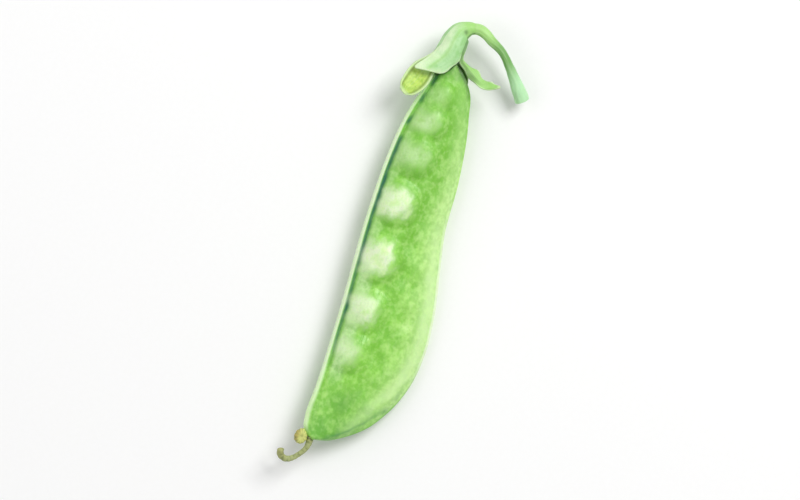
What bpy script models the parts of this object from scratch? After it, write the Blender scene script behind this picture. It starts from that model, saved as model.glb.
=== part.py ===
"""A fresh garden pea pod, picked with its stalk and lying on its broad side.

Metres, +Z up. Every piece is shaped in the pod's own frame, under one empty: x runs from the tip (0) to
the stalk, +y is the ventral side that carries the peas, and z is the thickness, with the plane between the
two valves at z = 0. The empty rolls that frame until the swellings and the belly both touch the surface,
and puts the world origin on the surface under the middle of the whole part.
"""

import math
from dataclasses import dataclass

import bmesh
import bpy
import numpy as np
from mathutils import Euler, Vector

MM = 0.001

# The pod body.
POD_LENGTH = 83 * MM
# (distance from the tip, y) along the two sutures, in millimetres.
VENTRAL_EDGE = ((0, -1.0), (0.8, 0.2), (1.8, 0.95), (4, 1.5), (10, 1.7), (20, 2.45), (30, 3.5), (40, 4.75),
                (50, 5.65), (58, 6.0), (65, 5.8), (74, 4.3), (79, 3.3), (83, 2.8))
DORSAL_EDGE = ((0, -1.9), (1, -4.6), (2, -6.25), (5, -10.0), (10, -13.5), (16, -15.7), (23, -16.3),
               (31, -15.2), (40, -12.75), (47, -10.8), (58, -9.3), (70, -6.3), (75.5, -4.0), (77.7, -1.9),
               (79.2, 0.2), (81, 1.1), (83, 1.3))
# (distance from the tip, half thickness) of the wall between the swellings, in millimetres.
WALL_HALF = ((0, 1.7), (4, 2.2), (10, 2.9), (18, 3.5), (30, 3.8), (45, 3.7), (60, 3.4), (70, 2.8),
             (76, 2.2), (80, 1.7), (83, 1.45))
VENTRAL_FULLNESS = 0.5
DORSAL_FULLNESS = 0.60
TIP_ROUNDING = 0.7 * MM
NECK_ROUNDING = 0.6 * MM
RING_CROWDING = 0.6
POD_SEGMENTS = 48
POD_RINGS = 76

# (distance from the tip, y, radius) of each pea, in millimetres, and the width over which the skin fills the
# crease round it, which is never more than the wall's own half thickness.
PEAS = ((19.0, -1.4, 4.7), (27.5, -1.0, 5.1), (38.0, 0.3, 5.3), (49.3, 1.0, 5.2), (59.3, 1.4, 4.9),
        (66.6, 1.3, 4.2), (72.0, 1.2, 3.4))
SKIN_BLEND = 3.0 * MM

# The two sutures, as cords along the edges: half width and half thickness.
VENTRAL_CORD = (0.62 * MM, 0.80 * MM)
DORSAL_CORD = (0.42 * MM, 0.45 * MM)
GROOVE_INSET = 0.95 * MM
# The groove dies out towards the tip: the share of its inset that goes, from where and over what distance.
GROOVE_LOSS = 0.75
GROOVE_FADES_FROM = 17 * MM
GROOVE_FADES_OVER = 13 * MM
DORSAL_INSET = 0.30 * MM
CORD_BLEND = 0.35 * MM
EDGE_CLOSING = 0.1 * MM

# How the pod lies: its tip and neck lift clear, and the underside is pressed flat where it rests.
TIP_LIFT = 1.4 * MM
NECK_LIFT = 1.6 * MM
TIP_LIFT_REACH = 25 * MM
NECK_LIFT_REACH = 28 * MM
ROLL = math.radians(10.2)
REST_HEIGHT = 4.78 * MM

# The calyx: a bell round the neck, cut into five lobes. The bell's middle line turns from the stalk's
# direction to the pod's: x, y, z and radius in millimetres.
BELL_ROUTE = ((86.85, -0.35, 1.5, 1.12), (86.6, 0.4, 1.5, 1.35), (86.15, 1.05, 1.5, 1.62),
              (85.3, 1.85, 1.5, 2.1), (83.6, 2.3, 1.5, 2.6), (81.6, 2.45, 1.5, 2.8))
BELL_STEPS = 7
LOBE_STEPS = 14
SEPAL_THICKNESS = 0.6 * MM

# The stalk, from the bell to the swollen foot where it was picked: x, y, z and radius in millimetres.
STALK_ROUTE = ((86.99, -0.77, 1.5, 1.12), (87.05, -1.25, 1.6, 1.13), (86.8, -2.5, 1.9, 1.06),
               (86.05, -4.0, 2.2, 0.98), (84.6, -7.2, 2.2, 0.8), (82.9, -9.2, 2.0, 0.86),
               (80.7, -11.5, 1.6, 1.12), (79.1, -13.1, 1.25, 1.36), (77.5, -14.7, 0.9, 1.46))
STALK_POINTS = 26

# The dried style at the tip: a knob, and a thread that leaves it and hooks round.
KNOB_CENTRE = Vector((-0.4, 0.95, 1.45)) * MM
KNOB_RADII = Vector((1.3, 1.1, 0.95)) * MM
KNOB_SEGMENTS = 14
KNOB_RINGS = 10
STYLE_ROUTE = ((-0.5, 0.6, 1.5, 0.5), (-0.75, -0.3, 1.5, 0.55), (-1.2, -1.0, 1.4, 0.6),
               (-2.05, -1.15, 1.25, 0.57), (-3.1, -0.65, 1.0, 0.53), (-3.95, -0.1, 0.85, 0.54),
               (-4.8, 0.65, 0.75, 0.58), (-5.3, 1.5, 0.75, 0.64), (-5.3, 2.4, 0.9, 0.68),
               (-4.9, 3.1, 1.15, 0.72), (-4.2, 3.4, 1.4, 0.74), (-3.9, 3.4, 1.5, 0.66))
STYLE_POINTS = 30

# Curves are round with ten sides.
TUBE_BEVEL_RESOLUTION = 3


@dataclass(frozen=True)
class Sepal:
    """One lobe of the calyx.

    span: how much of the bell's round it takes up, in degrees.
    length: along its middle line, past the bell's mouth.
    spread, curl: degrees that it bends away from the bell's axis, at first and in its last half.
    lean: degrees that it turns aside, anticlockwise seen from the stalk's end.
    twist: degrees that its face turns about its own length.
    widths: its outline. cupping: half the angle of its arc at the end, in degrees.
    columns: faces across it.
    spread_by, lean_by, twist_by: the shares of its length in which it spreads, leans and twists.
    skew: how far one margin runs ahead of the other, as a share of the half width.
    """

    span: float
    length: float
    spread: float
    curl: float
    lean: float
    twist: float
    widths: tuple
    cupping: float
    columns: int
    spread_by: float = 0.5
    lean_by: float = 0.6
    twist_by: float = 1.0
    skew: float = 0.0


# (share of the lobe's length, half width as a share of the half width at its root).
BROAD = ((0.0, 1.0), (0.2, 1.13), (0.45, 0.95), (0.68, 0.94), (0.86, 0.94), (0.95, 0.88), (1.0, 0.76))
SPOON = ((0.0, 1.0), (0.12, 0.82), (0.28, 0.85), (0.5, 1.3), (0.7, 1.42), (0.84, 1.25), (0.94, 0.95),
         (1.0, 0.5))
RAGGED = ((0.0, 1.0), (0.12, 0.86), (0.3, 0.8), (0.42, 0.9), (0.56, 0.72), (0.7, 0.8), (0.84, 0.5),
          (1.0, 0.22))
LANCE = ((0.0, 1.0), (0.12, 0.88), (0.35, 0.8), (0.6, 0.78), (0.85, 0.6), (1.0, 0.25))

# In turn round the bell: over the top face, two on the dorsal side, under the pod, on the ventral side.
SEPALS = (
    Sepal(
        span=105, length=6.6 * MM, spread=6, curl=1, lean=-27.5, twist=0,
        widths=BROAD, cupping=26, columns=9, lean_by=0.5, skew=-0.8,
    ),
    Sepal(
        span=55, length=10.7 * MM, spread=66, curl=54, lean=-6, twist=62,
        widths=RAGGED, cupping=12, columns=5, spread_by=0.21, twist_by=0.4,
    ),
    Sepal(
        span=70, length=6.7 * MM, spread=46, curl=-4, lean=-26, twist=0,
        widths=LANCE, cupping=12, columns=6, spread_by=0.25, lean_by=0.3,
    ),
    Sepal(
        span=55, length=7.4 * MM, spread=26, curl=10, lean=-34, twist=0,
        widths=LANCE, cupping=12, columns=5,
    ),
    Sepal(
        span=75, length=12.4 * MM, spread=6, curl=20, lean=11, twist=98,
        widths=SPOON, cupping=26, columns=8, twist_by=0.55,
    ),
)
# Where the first of them starts: angles start at the ventral side and rise over the top face.
FIRST_SEPAL_START = 27.5


def clear_scene():
    """Remove every object that the file starts with."""
    for thing in list(bpy.data.objects):
        bpy.data.objects.remove(thing)


def paint(name, colour, roughness):
    """Make a plain Principled material."""
    made = bpy.data.materials.new(name)
    made.use_nodes = True
    shader = made.node_tree.nodes["Principled BSDF"]
    shader.inputs["Base Color"].default_value = (*colour, 1.0)
    shader.inputs["Roughness"].default_value = roughness
    shader.inputs["Metallic"].default_value = 0.0
    return made


def smooth_step(share):
    """Rise from 0 to 1 with level ends."""
    share = np.clip(share, 0.0, 1.0)
    return share * share * (3 - 2 * share)


def smooth_through(stations, where):
    """Cubic curve through (station, value) pairs, its slope at each taken from the neighbours."""
    at, value = np.array(stations, float).T
    slope = np.gradient(value, at)
    i = np.clip(np.searchsorted(at, where) - 1, 0, len(at) - 2)
    gap = at[i + 1] - at[i]
    t = (where - at[i]) / gap
    from_left = (1 + 2 * t) * (1 - t) ** 2 * value[i] + t * (1 - t) ** 2 * gap * slope[i]
    from_right = t * t * (3 - 2 * t) * value[i + 1] + t * t * (t - 1) * gap * slope[i + 1]
    return from_left + from_right


def smooth_route(route, count):
    """Points and radii in metres, evenly numbered along the smooth curve through a route in millimetres."""
    route = np.array(route, float) * MM
    steps = np.linalg.norm(np.diff(route[:, :3], axis=0), axis=1)
    reached = np.concatenate([[0.0], np.cumsum(steps)])
    where = np.linspace(0.0, reached[-1], count)
    columns = [smooth_through(np.column_stack([reached, column]), where) for column in route.T]
    return np.column_stack(columns)


def smooth_max(a, b, blend):
    """The larger of two heights, with the crease between them filled over the blend width."""
    overlap = np.maximum(blend - np.abs(a - b), 0.0) / blend
    return np.maximum(a, b) + overlap * overlap * blend / 4


def dome(distance, radius, height):
    """Height of an elliptic dome at a distance from its middle."""
    return height * np.sqrt(np.maximum(1 - (distance / radius) ** 2, 0.0))


def end_rounding(x):
    """Share of the full section that is left near the two ends, which close as ellipses."""
    tip = 1 - np.clip(x / TIP_ROUNDING, 0.0, 1.0)
    neck = 1 - np.clip((POD_LENGTH - x) / NECK_ROUNDING, 0.0, 1.0)
    return np.sqrt(1 - tip**2) * np.sqrt(1 - neck**2)


def middle_lift(x):
    """How far the plane between the valves has curved up at a station."""
    tip = TIP_LIFT * np.clip(1 - x / TIP_LIFT_REACH, 0.0, None) ** 2
    neck_start = POD_LENGTH - NECK_LIFT_REACH
    neck = NECK_LIFT * np.clip((x - neck_start) / NECK_LIFT_REACH, 0.0, None) ** 2
    return tip + neck


def half_thickness(x, y, ventral, dorsal):
    """Half thickness of the pod at x, y between its two edges.

    The section is a lens, fuller on the ventral side, as thick as the wall or as a pea's ball under it,
    whichever is thicker. A cord runs along each edge, with a groove between the ventral cord and the wall.
    """
    scale = end_rounding(x)
    room = scale * np.clip((ventral - dorsal) / (8 * MM), 0.15, 1.0)
    low = dorsal + DORSAL_INSET * room
    groove_left = 1 - GROOVE_LOSS * smooth_step((GROOVE_FADES_FROM - x) / GROOVE_FADES_OVER)
    high = ventral - GROOVE_INSET * groove_left * room
    across = np.clip((2 * y - low - high) / np.maximum(high - low, 1e-9), -1.0, 1.0)
    peak = (VENTRAL_FULLNESS, DORSAL_FULLNESS)
    peak_at = (peak[1] - peak[0]) / (peak[1] + peak[0])
    peak_value = (1 - peak_at) ** peak[0] * (1 + peak_at) ** peak[1]
    lens = (1 - across) ** VENTRAL_FULLNESS * (1 + across) ** DORSAL_FULLNESS / peak_value
    thickness = scale * smooth_through(WALL_HALF, x / MM) * MM
    blend = np.clip(thickness, 0.01 * MM, SKIN_BLEND)
    for pea_x, pea_y, radius in np.array(PEAS) * MM:
        thickness = smooth_max(thickness, dome(np.hypot(x - pea_x, y - pea_y), radius, radius), blend)
    wall = lens * thickness
    cords = ((ventral - y, VENTRAL_CORD), (y - dorsal, DORSAL_CORD))
    for inset, (half_width, half_height) in cords:
        cord = dome(inset - half_width * room, np.maximum(half_width * room, 1e-9), half_height * room)
        wall = smooth_max(wall, cord, CORD_BLEND)
    to_edge = np.minimum(ventral - y, y - dorsal)
    return wall * np.sqrt(smooth_step(to_edge / EDGE_CLOSING))


def pod_point(ball):
    """Carry the points of a unit ball to the pod: its lowest pole becomes the tip, its highest the neck.

    The ball's x becomes the pod's y and its y the pod's z, so its faces keep pointing outwards.
    """
    polar = np.arccos(np.clip(-ball[:, 2], -1.0, 1.0))
    x = POD_LENGTH * (polar - RING_CROWDING * np.sin(2 * polar) / 2) / math.pi
    ventral_full = smooth_through(VENTRAL_EDGE, x / MM) * MM
    dorsal_full = smooth_through(DORSAL_EDGE, x / MM) * MM
    middle = (ventral_full + dorsal_full) / 2
    half = (ventral_full - dorsal_full) / 2 * end_rounding(x)
    ring = np.maximum(np.hypot(ball[:, 0], ball[:, 1]), 1e-9)
    y = middle + half * ball[:, 0] / ring
    height = half_thickness(x, y, middle + half, middle - half)
    z = np.sign(np.where(np.abs(ball[:, 1]) < 1e-6, 0.0, ball[:, 1])) * height
    return np.column_stack([x, y, z + middle_lift(x)])


def press_flat(points):
    """Lift whatever would be under the surface straight up to it, in the rolled frame."""
    up = np.array([0.0, math.sin(ROLL), math.cos(ROLL)])
    below = np.minimum(points @ up + REST_HEIGHT, 0.0)
    return points - below[:, None] * up


def add_object(name, data, collection, finish):
    """Put a mesh or curve in the collection under its node's name."""
    made = bpy.data.objects.new(name, data)
    data.materials.append(finish)
    collection.objects.link(made)
    return made


def mesh_from(bm, name):
    """Turn a bmesh into a smooth-shaded mesh."""
    mesh = bpy.data.meshes.new(name)
    bm.to_mesh(mesh)
    bm.free()
    mesh.shade_smooth()
    return mesh


def build_pod(collection, finish):
    """The pod: one closed wall, drawn out of a ball."""
    bm = bmesh.new()
    bmesh.ops.create_uvsphere(bm, u_segments=POD_SEGMENTS, v_segments=POD_RINGS, radius=1.0)
    mesh = mesh_from(bm, "pod")
    points = np.empty(len(mesh.vertices) * 3)
    mesh.vertices.foreach_get("co", points)
    mesh.vertices.foreach_set("co", press_flat(pod_point(points.reshape(-1, 3))).ravel())
    mesh.update()
    return add_object("pod", mesh, collection, finish)


def bell_frames():
    """Sections of the bell from its base to its mouth: middles, radii, and each one's axis, side and rise."""
    route = smooth_route(BELL_ROUTE, BELL_STEPS + 1)
    axis = np.gradient(route[:, :3], axis=0)
    axis /= np.linalg.norm(axis, axis=1)[:, None]
    rise = np.tile((0.0, 0.0, 1.0), (len(route), 1))
    return route[:, :3], route[:, 3], axis, np.cross(axis, rise), rise


def sepal_points(sepal, start):
    """Points of one part of the calyx, rows from the bell's base to the lobe's end, columns across it.

    In the bell the section is an arc of the bell's round. Past the mouth the arc's half width shrinks and
    its half angle opens out, while the middle line bends away from the bell's axis, leans and twists.
    """
    middles, radii, axes, sides, rises = bell_frames()
    across = np.linspace(-1.0, 1.0, sepal.columns + 1)
    half_span = math.radians(sepal.span) / 2
    centre = math.radians(start) + half_span
    angle = (centre + across * half_span)[None, :, None]
    spokes = np.cos(angle) * sides[:, None] + np.sin(angle) * rises[:, None]
    bell = middles[:, None] + radii[:, None, None] * spokes

    axis, side, rise, radius = axes[-1], sides[-1], rises[-1], radii[-1]
    share = np.linspace(0.0, 1.0, LOBE_STEPS + 1)[1:]
    outward = math.cos(centre) * side + math.sin(centre) * rise
    tangent = -math.sin(centre) * side + math.cos(centre) * rise
    bend = sepal.spread * smooth_step(share / sepal.spread_by) + sepal.curl * smooth_step(share * 2 - 1)
    bend, lean = np.radians(bend), np.radians(sepal.lean * smooth_step(share / sepal.lean_by))
    heading = (
        (np.cos(bend) * np.cos(lean))[:, None] * axis
        + np.sin(bend)[:, None] * outward
        + (np.cos(bend) * np.sin(lean))[:, None] * tangent
    )
    heading /= np.linalg.norm(heading, axis=1)[:, None]
    middle = middles[-1] + radius * outward + np.cumsum(heading, axis=0) * sepal.length / LOBE_STEPS
    cross = tangent - (heading @ tangent)[:, None] * heading
    cross /= np.linalg.norm(cross, axis=1)[:, None]
    normal = np.cross(heading, cross)
    twist = (np.radians(sepal.twist) * smooth_step(share / sepal.twist_by))[:, None]
    cross, normal = (
        np.cos(twist) * cross + np.sin(twist) * normal,
        np.cos(twist) * normal - np.sin(twist) * cross,
    )
    half_width = smooth_through(sepal.widths, share) * radius * half_span
    half_angle = half_span + (math.radians(sepal.cupping) - half_span) * smooth_step(share)
    arc = (half_width / half_angle)[:, None]
    turn = half_angle[:, None] * across
    ahead = sepal.skew * (half_width * smooth_step(share))[:, None] * across
    lobe = (
        middle[:, None]
        + ahead[..., None] * heading[:, None]
        + (arc * np.sin(turn))[..., None] * cross[:, None]
        + (arc * (np.cos(turn) - 1))[..., None] * normal[:, None]
    )
    return np.concatenate([bell, lobe])


def build_calyx(collection, finish):
    """The calyx: five lofted strips, joined where they are one bell, then given their thickness."""
    bm = bmesh.new()
    start = FIRST_SEPAL_START
    for sepal in SEPALS:
        points = sepal_points(sepal, start)
        start += sepal.span
        rows, columns = points.shape[:2]
        grid = [[bm.verts.new(point) for point in row] for row in points]
        for i in range(rows - 1):
            for j in range(columns - 1):
                bm.faces.new((grid[i][j], grid[i][j + 1], grid[i + 1][j + 1], grid[i + 1][j]))
    bmesh.ops.remove_doubles(bm, verts=bm.verts, dist=0.01 * MM)
    base, near_base = Vector(BELL_ROUTE[0][:3]) * MM, 1.1 * BELL_ROUTE[0][3] * MM
    open_edges = [edge for edge in bm.edges if edge.is_boundary]
    rim = [edge for edge in open_edges if all((v.co - base).length < near_base for v in edge.verts)]
    bmesh.ops.contextual_create(bm, geom=rim)
    bmesh.ops.recalc_face_normals(bm, faces=bm.faces)
    calyx = add_object("calyx", mesh_from(bm, "calyx"), collection, finish)
    wall = calyx.modifiers.new("wall", "SOLIDIFY")
    wall.thickness = SEPAL_THICKNESS
    wall.offset = -1
    return calyx


def tube(name, route, count, collection, finish):
    """A round tube of changing radius along a smooth route, with closed ends."""
    curve = bpy.data.curves.new(name, "CURVE")
    curve.dimensions = "3D"
    curve.bevel_depth = 1.0
    curve.bevel_resolution = TUBE_BEVEL_RESOLUTION
    curve.use_fill_caps = True
    points = smooth_route(route, count)
    spline = curve.splines.new("POLY")
    spline.points.add(count - 1)
    for spot, (x, y, z, radius) in zip(spline.points, points):
        spot.co = (x, y, z, 1.0)
        spot.radius = radius
    return add_object(name, curve, collection, finish)


def as_mesh(thing, collection, finish):
    """Replace a curve object by the mesh it evaluates to, with its caps welded on."""
    mesh = bpy.data.meshes.new_from_object(thing.evaluated_get(bpy.context.evaluated_depsgraph_get()))
    name, place = thing.name, thing.matrix_world.copy()
    bpy.data.objects.remove(thing)
    bm = bmesh.new()
    bm.from_mesh(mesh)
    bmesh.ops.remove_doubles(bm, verts=bm.verts, dist=0.001 * MM)
    bm.to_mesh(mesh)
    bm.free()
    mesh.materials.clear()
    mesh.shade_smooth()
    made = add_object(name, mesh, collection, finish)
    made.matrix_world = place
    return made


def build_style(collection, helpers, finish):
    """The dried style: a hooked thread fused with the knob that it grew from."""
    thread = tube("style", STYLE_ROUTE, STYLE_POINTS, collection, finish)
    thread = as_mesh(thread, collection, finish)
    bm = bmesh.new()
    bmesh.ops.create_uvsphere(bm, u_segments=KNOB_SEGMENTS, v_segments=KNOB_RINGS, radius=1.0)
    bmesh.ops.scale(bm, vec=KNOB_RADII, verts=bm.verts)
    bmesh.ops.translate(bm, vec=KNOB_CENTRE, verts=bm.verts)
    knob = add_object("style_knob", mesh_from(bm, "style_knob"), helpers, finish)
    knob.hide_render = True
    knob.display_type = "WIRE"
    joined = thread.modifiers.new("knob", "BOOLEAN")
    joined.operation = "UNION"
    joined.object = knob
    return thread, knob


def world_box(things):
    """Lowest and highest corner of the evaluated objects."""
    bpy.context.view_layer.update()
    graph = bpy.context.evaluated_depsgraph_get()
    corners = []
    for thing in things:
        shown = thing.evaluated_get(graph)
        mesh = shown.to_mesh()
        corners.extend(shown.matrix_world @ vertex.co for vertex in mesh.vertices)
        shown.to_mesh_clear()
    corners = np.array(corners)
    return corners.min(axis=0), corners.max(axis=0)


def main():
    clear_scene()
    parts = bpy.data.collections.new("pea_pod")
    helpers = bpy.data.collections.new("pea_pod_helpers")
    for collection in (parts, helpers):
        bpy.context.scene.collection.children.link(collection)

    pod = build_pod(parts, paint("pod_skin", (0.30, 0.60, 0.12), 0.42))
    calyx = build_calyx(parts, paint("calyx_green", (0.43, 0.68, 0.30), 0.5))
    stalk = tube("stalk", STALK_ROUTE, STALK_POINTS, parts, paint("stalk_green", (0.40, 0.66, 0.30), 0.45))
    style, knob = build_style(parts, helpers, paint("dried_style", (0.33, 0.34, 0.13), 0.7))

    root = bpy.data.objects.new("pea_pod_root", None)
    parts.objects.link(root)
    root.rotation_euler = Euler((ROLL, 0, 0))
    for piece in (pod, calyx, stalk, style, knob):
        piece.parent = root
    low, high = world_box((pod, calyx, stalk, style))
    middle = (low + high) / 2
    root.location = (-middle[0], -middle[1], REST_HEIGHT)


main()
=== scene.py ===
"""A fresh garden pea pod lying on its side on a pale surface, seen from above in soft light.

Shapes are worked out in millimetres in the pod's own frame: x runs from the tip (0) to the stalk, +y is
the ventral side that carries the peas, and z is the thickness, with the plane between the two valves at
z = 0. Lie rolls that frame until the belly and the pea row touch the surface, and carries it to the row
frame in metres.
"""

import logging
import math
from dataclasses import dataclass
from enum import Enum
from typing import Any

import bpy
import numpy as np
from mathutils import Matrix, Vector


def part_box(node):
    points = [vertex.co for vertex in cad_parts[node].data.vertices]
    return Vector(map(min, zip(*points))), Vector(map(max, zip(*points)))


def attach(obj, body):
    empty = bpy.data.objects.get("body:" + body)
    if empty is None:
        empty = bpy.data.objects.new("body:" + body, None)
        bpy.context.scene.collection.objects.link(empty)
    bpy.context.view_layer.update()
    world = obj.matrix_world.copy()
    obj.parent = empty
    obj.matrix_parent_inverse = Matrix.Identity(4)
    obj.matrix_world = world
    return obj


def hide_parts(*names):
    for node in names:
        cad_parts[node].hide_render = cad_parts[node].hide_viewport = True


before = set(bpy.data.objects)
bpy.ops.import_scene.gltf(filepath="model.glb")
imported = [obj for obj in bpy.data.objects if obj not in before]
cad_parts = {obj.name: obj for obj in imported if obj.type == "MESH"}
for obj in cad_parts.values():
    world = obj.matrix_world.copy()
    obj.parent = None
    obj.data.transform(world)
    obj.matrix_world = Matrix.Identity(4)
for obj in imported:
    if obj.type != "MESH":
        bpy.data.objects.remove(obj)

MM = 0.001
BODY = "root"

Array = np.ndarray
Colour = tuple[float, float, float]
Stations = tuple[tuple[float, float], ...]
Route = tuple[tuple[float, float, float, float], ...]

log = logging.getLogger("pea_pod")


class Part(Enum):
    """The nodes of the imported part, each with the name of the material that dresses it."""

    POD = ("pod", "pod_skin")
    CALYX = ("calyx", "calyx_green")
    STALK = ("stalk", "stalk_green")
    STYLE = ("style", "dried_style")


class Blend(Enum):
    """How one colour goes over another."""

    MIX = "MIX"
    MULTIPLY = "MULTIPLY"


# Shapes as formulas


def smooth_step(share: Array) -> Array:
    """Rise from 0 to 1 with level ends: 3s² - 2s³, with s held between 0 and 1."""
    share = np.clip(share, 0.0, 1.0)
    return share * share * (3 - 2 * share)


def ramp(value: Array, start: float, over: float) -> Array:
    """Rise from 0 at the start to 1 past it, or fall to 0 at the start if over is negative: 3s² - 2s³."""
    return smooth_step((value - start) / over)


def smooth_through(stations: Stations | Array, where: Array) -> Array:
    """Read a cubic curve through given values.

    Between two stations the curve is the cubic that has their values and their slopes, and the slope at a
    station is the weighted mean of the slopes beside it.

    Args:
        stations: (station, value) pairs in rising order.
        where: the stations to read it at.

    Returns:
        The values there.
    """
    at, value = np.array(stations, float).T
    slope = np.gradient(value, at)
    i = np.clip(np.searchsorted(at, where) - 1, 0, len(at) - 2)
    gap = at[i + 1] - at[i]
    t = (where - at[i]) / gap
    from_left = (1 + 2 * t) * (1 - t) ** 2 * value[i] + t * (1 - t) ** 2 * gap * slope[i]
    from_right = t * t * (3 - 2 * t) * value[i + 1] + t * t * (t - 1) * gap * slope[i + 1]
    return from_left + from_right


def smooth_route(route: Route, count: int) -> tuple[Array, Array]:
    """Even points on the smooth curve through a route.

    Each coordinate is a cubic curve over the length of the straight steps between the given points.

    Args:
        route: x, y, z and radius of each given point.
        count: how many points to return.

    Returns:
        The points, and the radius at each.
    """
    given = np.array(route, float)
    steps = np.linalg.norm(np.diff(given[:, :3], axis=0), axis=1)
    reached = np.concatenate([[0.0], np.cumsum(steps)])
    where = np.linspace(0.0, reached[-1], count)
    columns = [smooth_through(np.column_stack([reached, column]), where) for column in given.T]
    return np.column_stack(columns[:3]), columns[3]


def smooth_max(a: Array, b: Array, blend: Array | float) -> Array:
    """The larger of two heights, with a parabola of the blend's width filling the crease between them."""
    overlap = np.maximum(blend - np.abs(a - b), 0.0) / blend
    return np.maximum(a, b) + overlap * overlap * blend / 4


def dome(distance: Array, radius: Array | float, height: Array | float) -> Array:
    """Height of an elliptic dome at a distance from its middle: height times the root of 1 - (d/r)²."""
    return height * np.sqrt(np.maximum(1 - (distance / radius) ** 2, 0.0))


def bump_at(distance: Array, width: float) -> Array:
    """A soft bump, 1 at distance 0 and gone by about twice the width: exp of -(d/w)²."""
    return np.exp(-((distance / width) ** 2))


def unit(vectors: Array) -> Array:
    """The vectors scaled to length 1."""
    return vectors / np.maximum(np.linalg.norm(vectors, axis=-1, keepdims=True), 1e-12)


def ripple(points: Array, wavelength: float, seed: int) -> Array:
    """Smooth unevenness in space: the mean of a few sine waves in seeded directions, about -1 to 1.

    Args:
        points: where to read it, with the coordinates along the last axis.
        wavelength: of the waves, which differ by up to a third from it.
        seed: picks directions, wavelengths and phases.

    Returns:
        One number a point.
    """
    waves = 7
    draw = np.random.default_rng(seed)
    ways = unit(draw.normal(size=(waves, points.shape[-1])))
    ways *= 2 * math.pi / (wavelength * draw.uniform(0.75, 1.33, waves))[:, None]
    return np.sin(points @ ways.T + draw.uniform(0, 2 * math.pi, waves)).sum(axis=-1) / math.sqrt(waves)


def grid_faces(rows: int, columns: int, closed: bool, flip: bool = False) -> Array:
    """Quads of a grid whose vertex (i, j) is number i * columns + j.

    Args:
        rows: of vertices.
        columns: of vertices.
        closed: whether the last column joins the first.
        flip: whether the faces turn the other way.

    Returns:
        Four vertex numbers a face.
    """
    i, j = np.meshgrid(np.arange(rows - 1), np.arange(columns if closed else columns - 1), indexing="ij")
    k = (j + 1) % columns
    corners = [i * columns + j, i * columns + k, (i + 1) * columns + k, (i + 1) * columns + j]
    return np.stack(corners[::-1] if flip else corners, axis=-1).reshape(-1, 4)


def fan_faces(pole: int, first: int, columns: int, flip: bool = False) -> Array:
    """Triangles from a pole to the closed ring of vertices that starts at number first."""
    j = np.arange(columns)
    ring, after = first + j, first + (j + 1) % columns
    pair = (ring, after) if flip else (after, ring)
    return np.stack([np.full(columns, pole), *pair], axis=-1)


def tube_faces(rows: int, columns: int) -> list[Array]:
    """Faces of a closed grid whose two poles come after its rows."""
    count = rows * columns
    return [
        grid_faces(rows, columns, closed=True),
        fan_faces(count, 0, columns),
        fan_faces(count + 1, count - columns, columns, flip=True),
    ]


def with_poles(values: Array) -> Array:
    """Flatten a grid of values, with the mean of its first and last row for the two poles."""
    flat = values.reshape(-1, *values.shape[2:])
    poles = np.stack([values[0].mean(axis=0), values[-1].mean(axis=0)])
    return np.concatenate([flat, poles])


def round_place(along: Array, radius: float, angle: Array) -> Array:
    """The place (along, radius cos a, radius sin a) for each row and each angle of a round section."""
    ring = along[:, None], radius * np.cos(angle)[None], radius * np.sin(angle)[None]
    return np.stack(np.broadcast_arrays(*ring), axis=-1)


@dataclass(frozen=True)
class Lie:
    """How the pod lies: rolled about its length, then shifted to where the frame has it."""

    roll: float = math.radians(10.2)
    rest_height: float = 4.78
    shift: tuple[float, float] = (0.0, 0.0)

    @property
    def up(self) -> Array:
        """The way up, in the pod's own frame."""
        return np.array([0.0, math.sin(self.roll), math.cos(self.roll)])

    def press_flat(self, points: Array) -> Array:
        """Lift whatever would be under the surface straight up to it."""
        below = np.minimum(points @ self.up + self.rest_height, 0.0)
        return points - below[..., None] * self.up

    def rolled(self, points: Array) -> Array:
        """Turn points about x by the roll: y' = y cos - z sin, z' = y sin + z cos, plus the rest height."""
        cos, sin = math.cos(self.roll), math.sin(self.roll)
        x, y, z = np.moveaxis(points, -1, 0)
        return np.stack([x, y * cos - z * sin, y * sin + z * cos + self.rest_height], axis=-1)

    def to_row(self, points: Array) -> Array:
        """Carry points in millimetres to the row frame in metres."""
        return (self.rolled(points) + np.array([*self.shift, 0.0])) * MM


# Materials as expressions


def srgb(red: int, green: int, blue: int) -> Colour:
    """A colour given as 0 to 255 screen values, in the linear values that shaders take."""
    values = np.array([red, green, blue]) / 255
    linear = np.where(values <= 0.04045, values / 12.92, ((values + 0.055) / 1.055) ** 2.4)
    return tuple(float(value) for value in linear)


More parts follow.
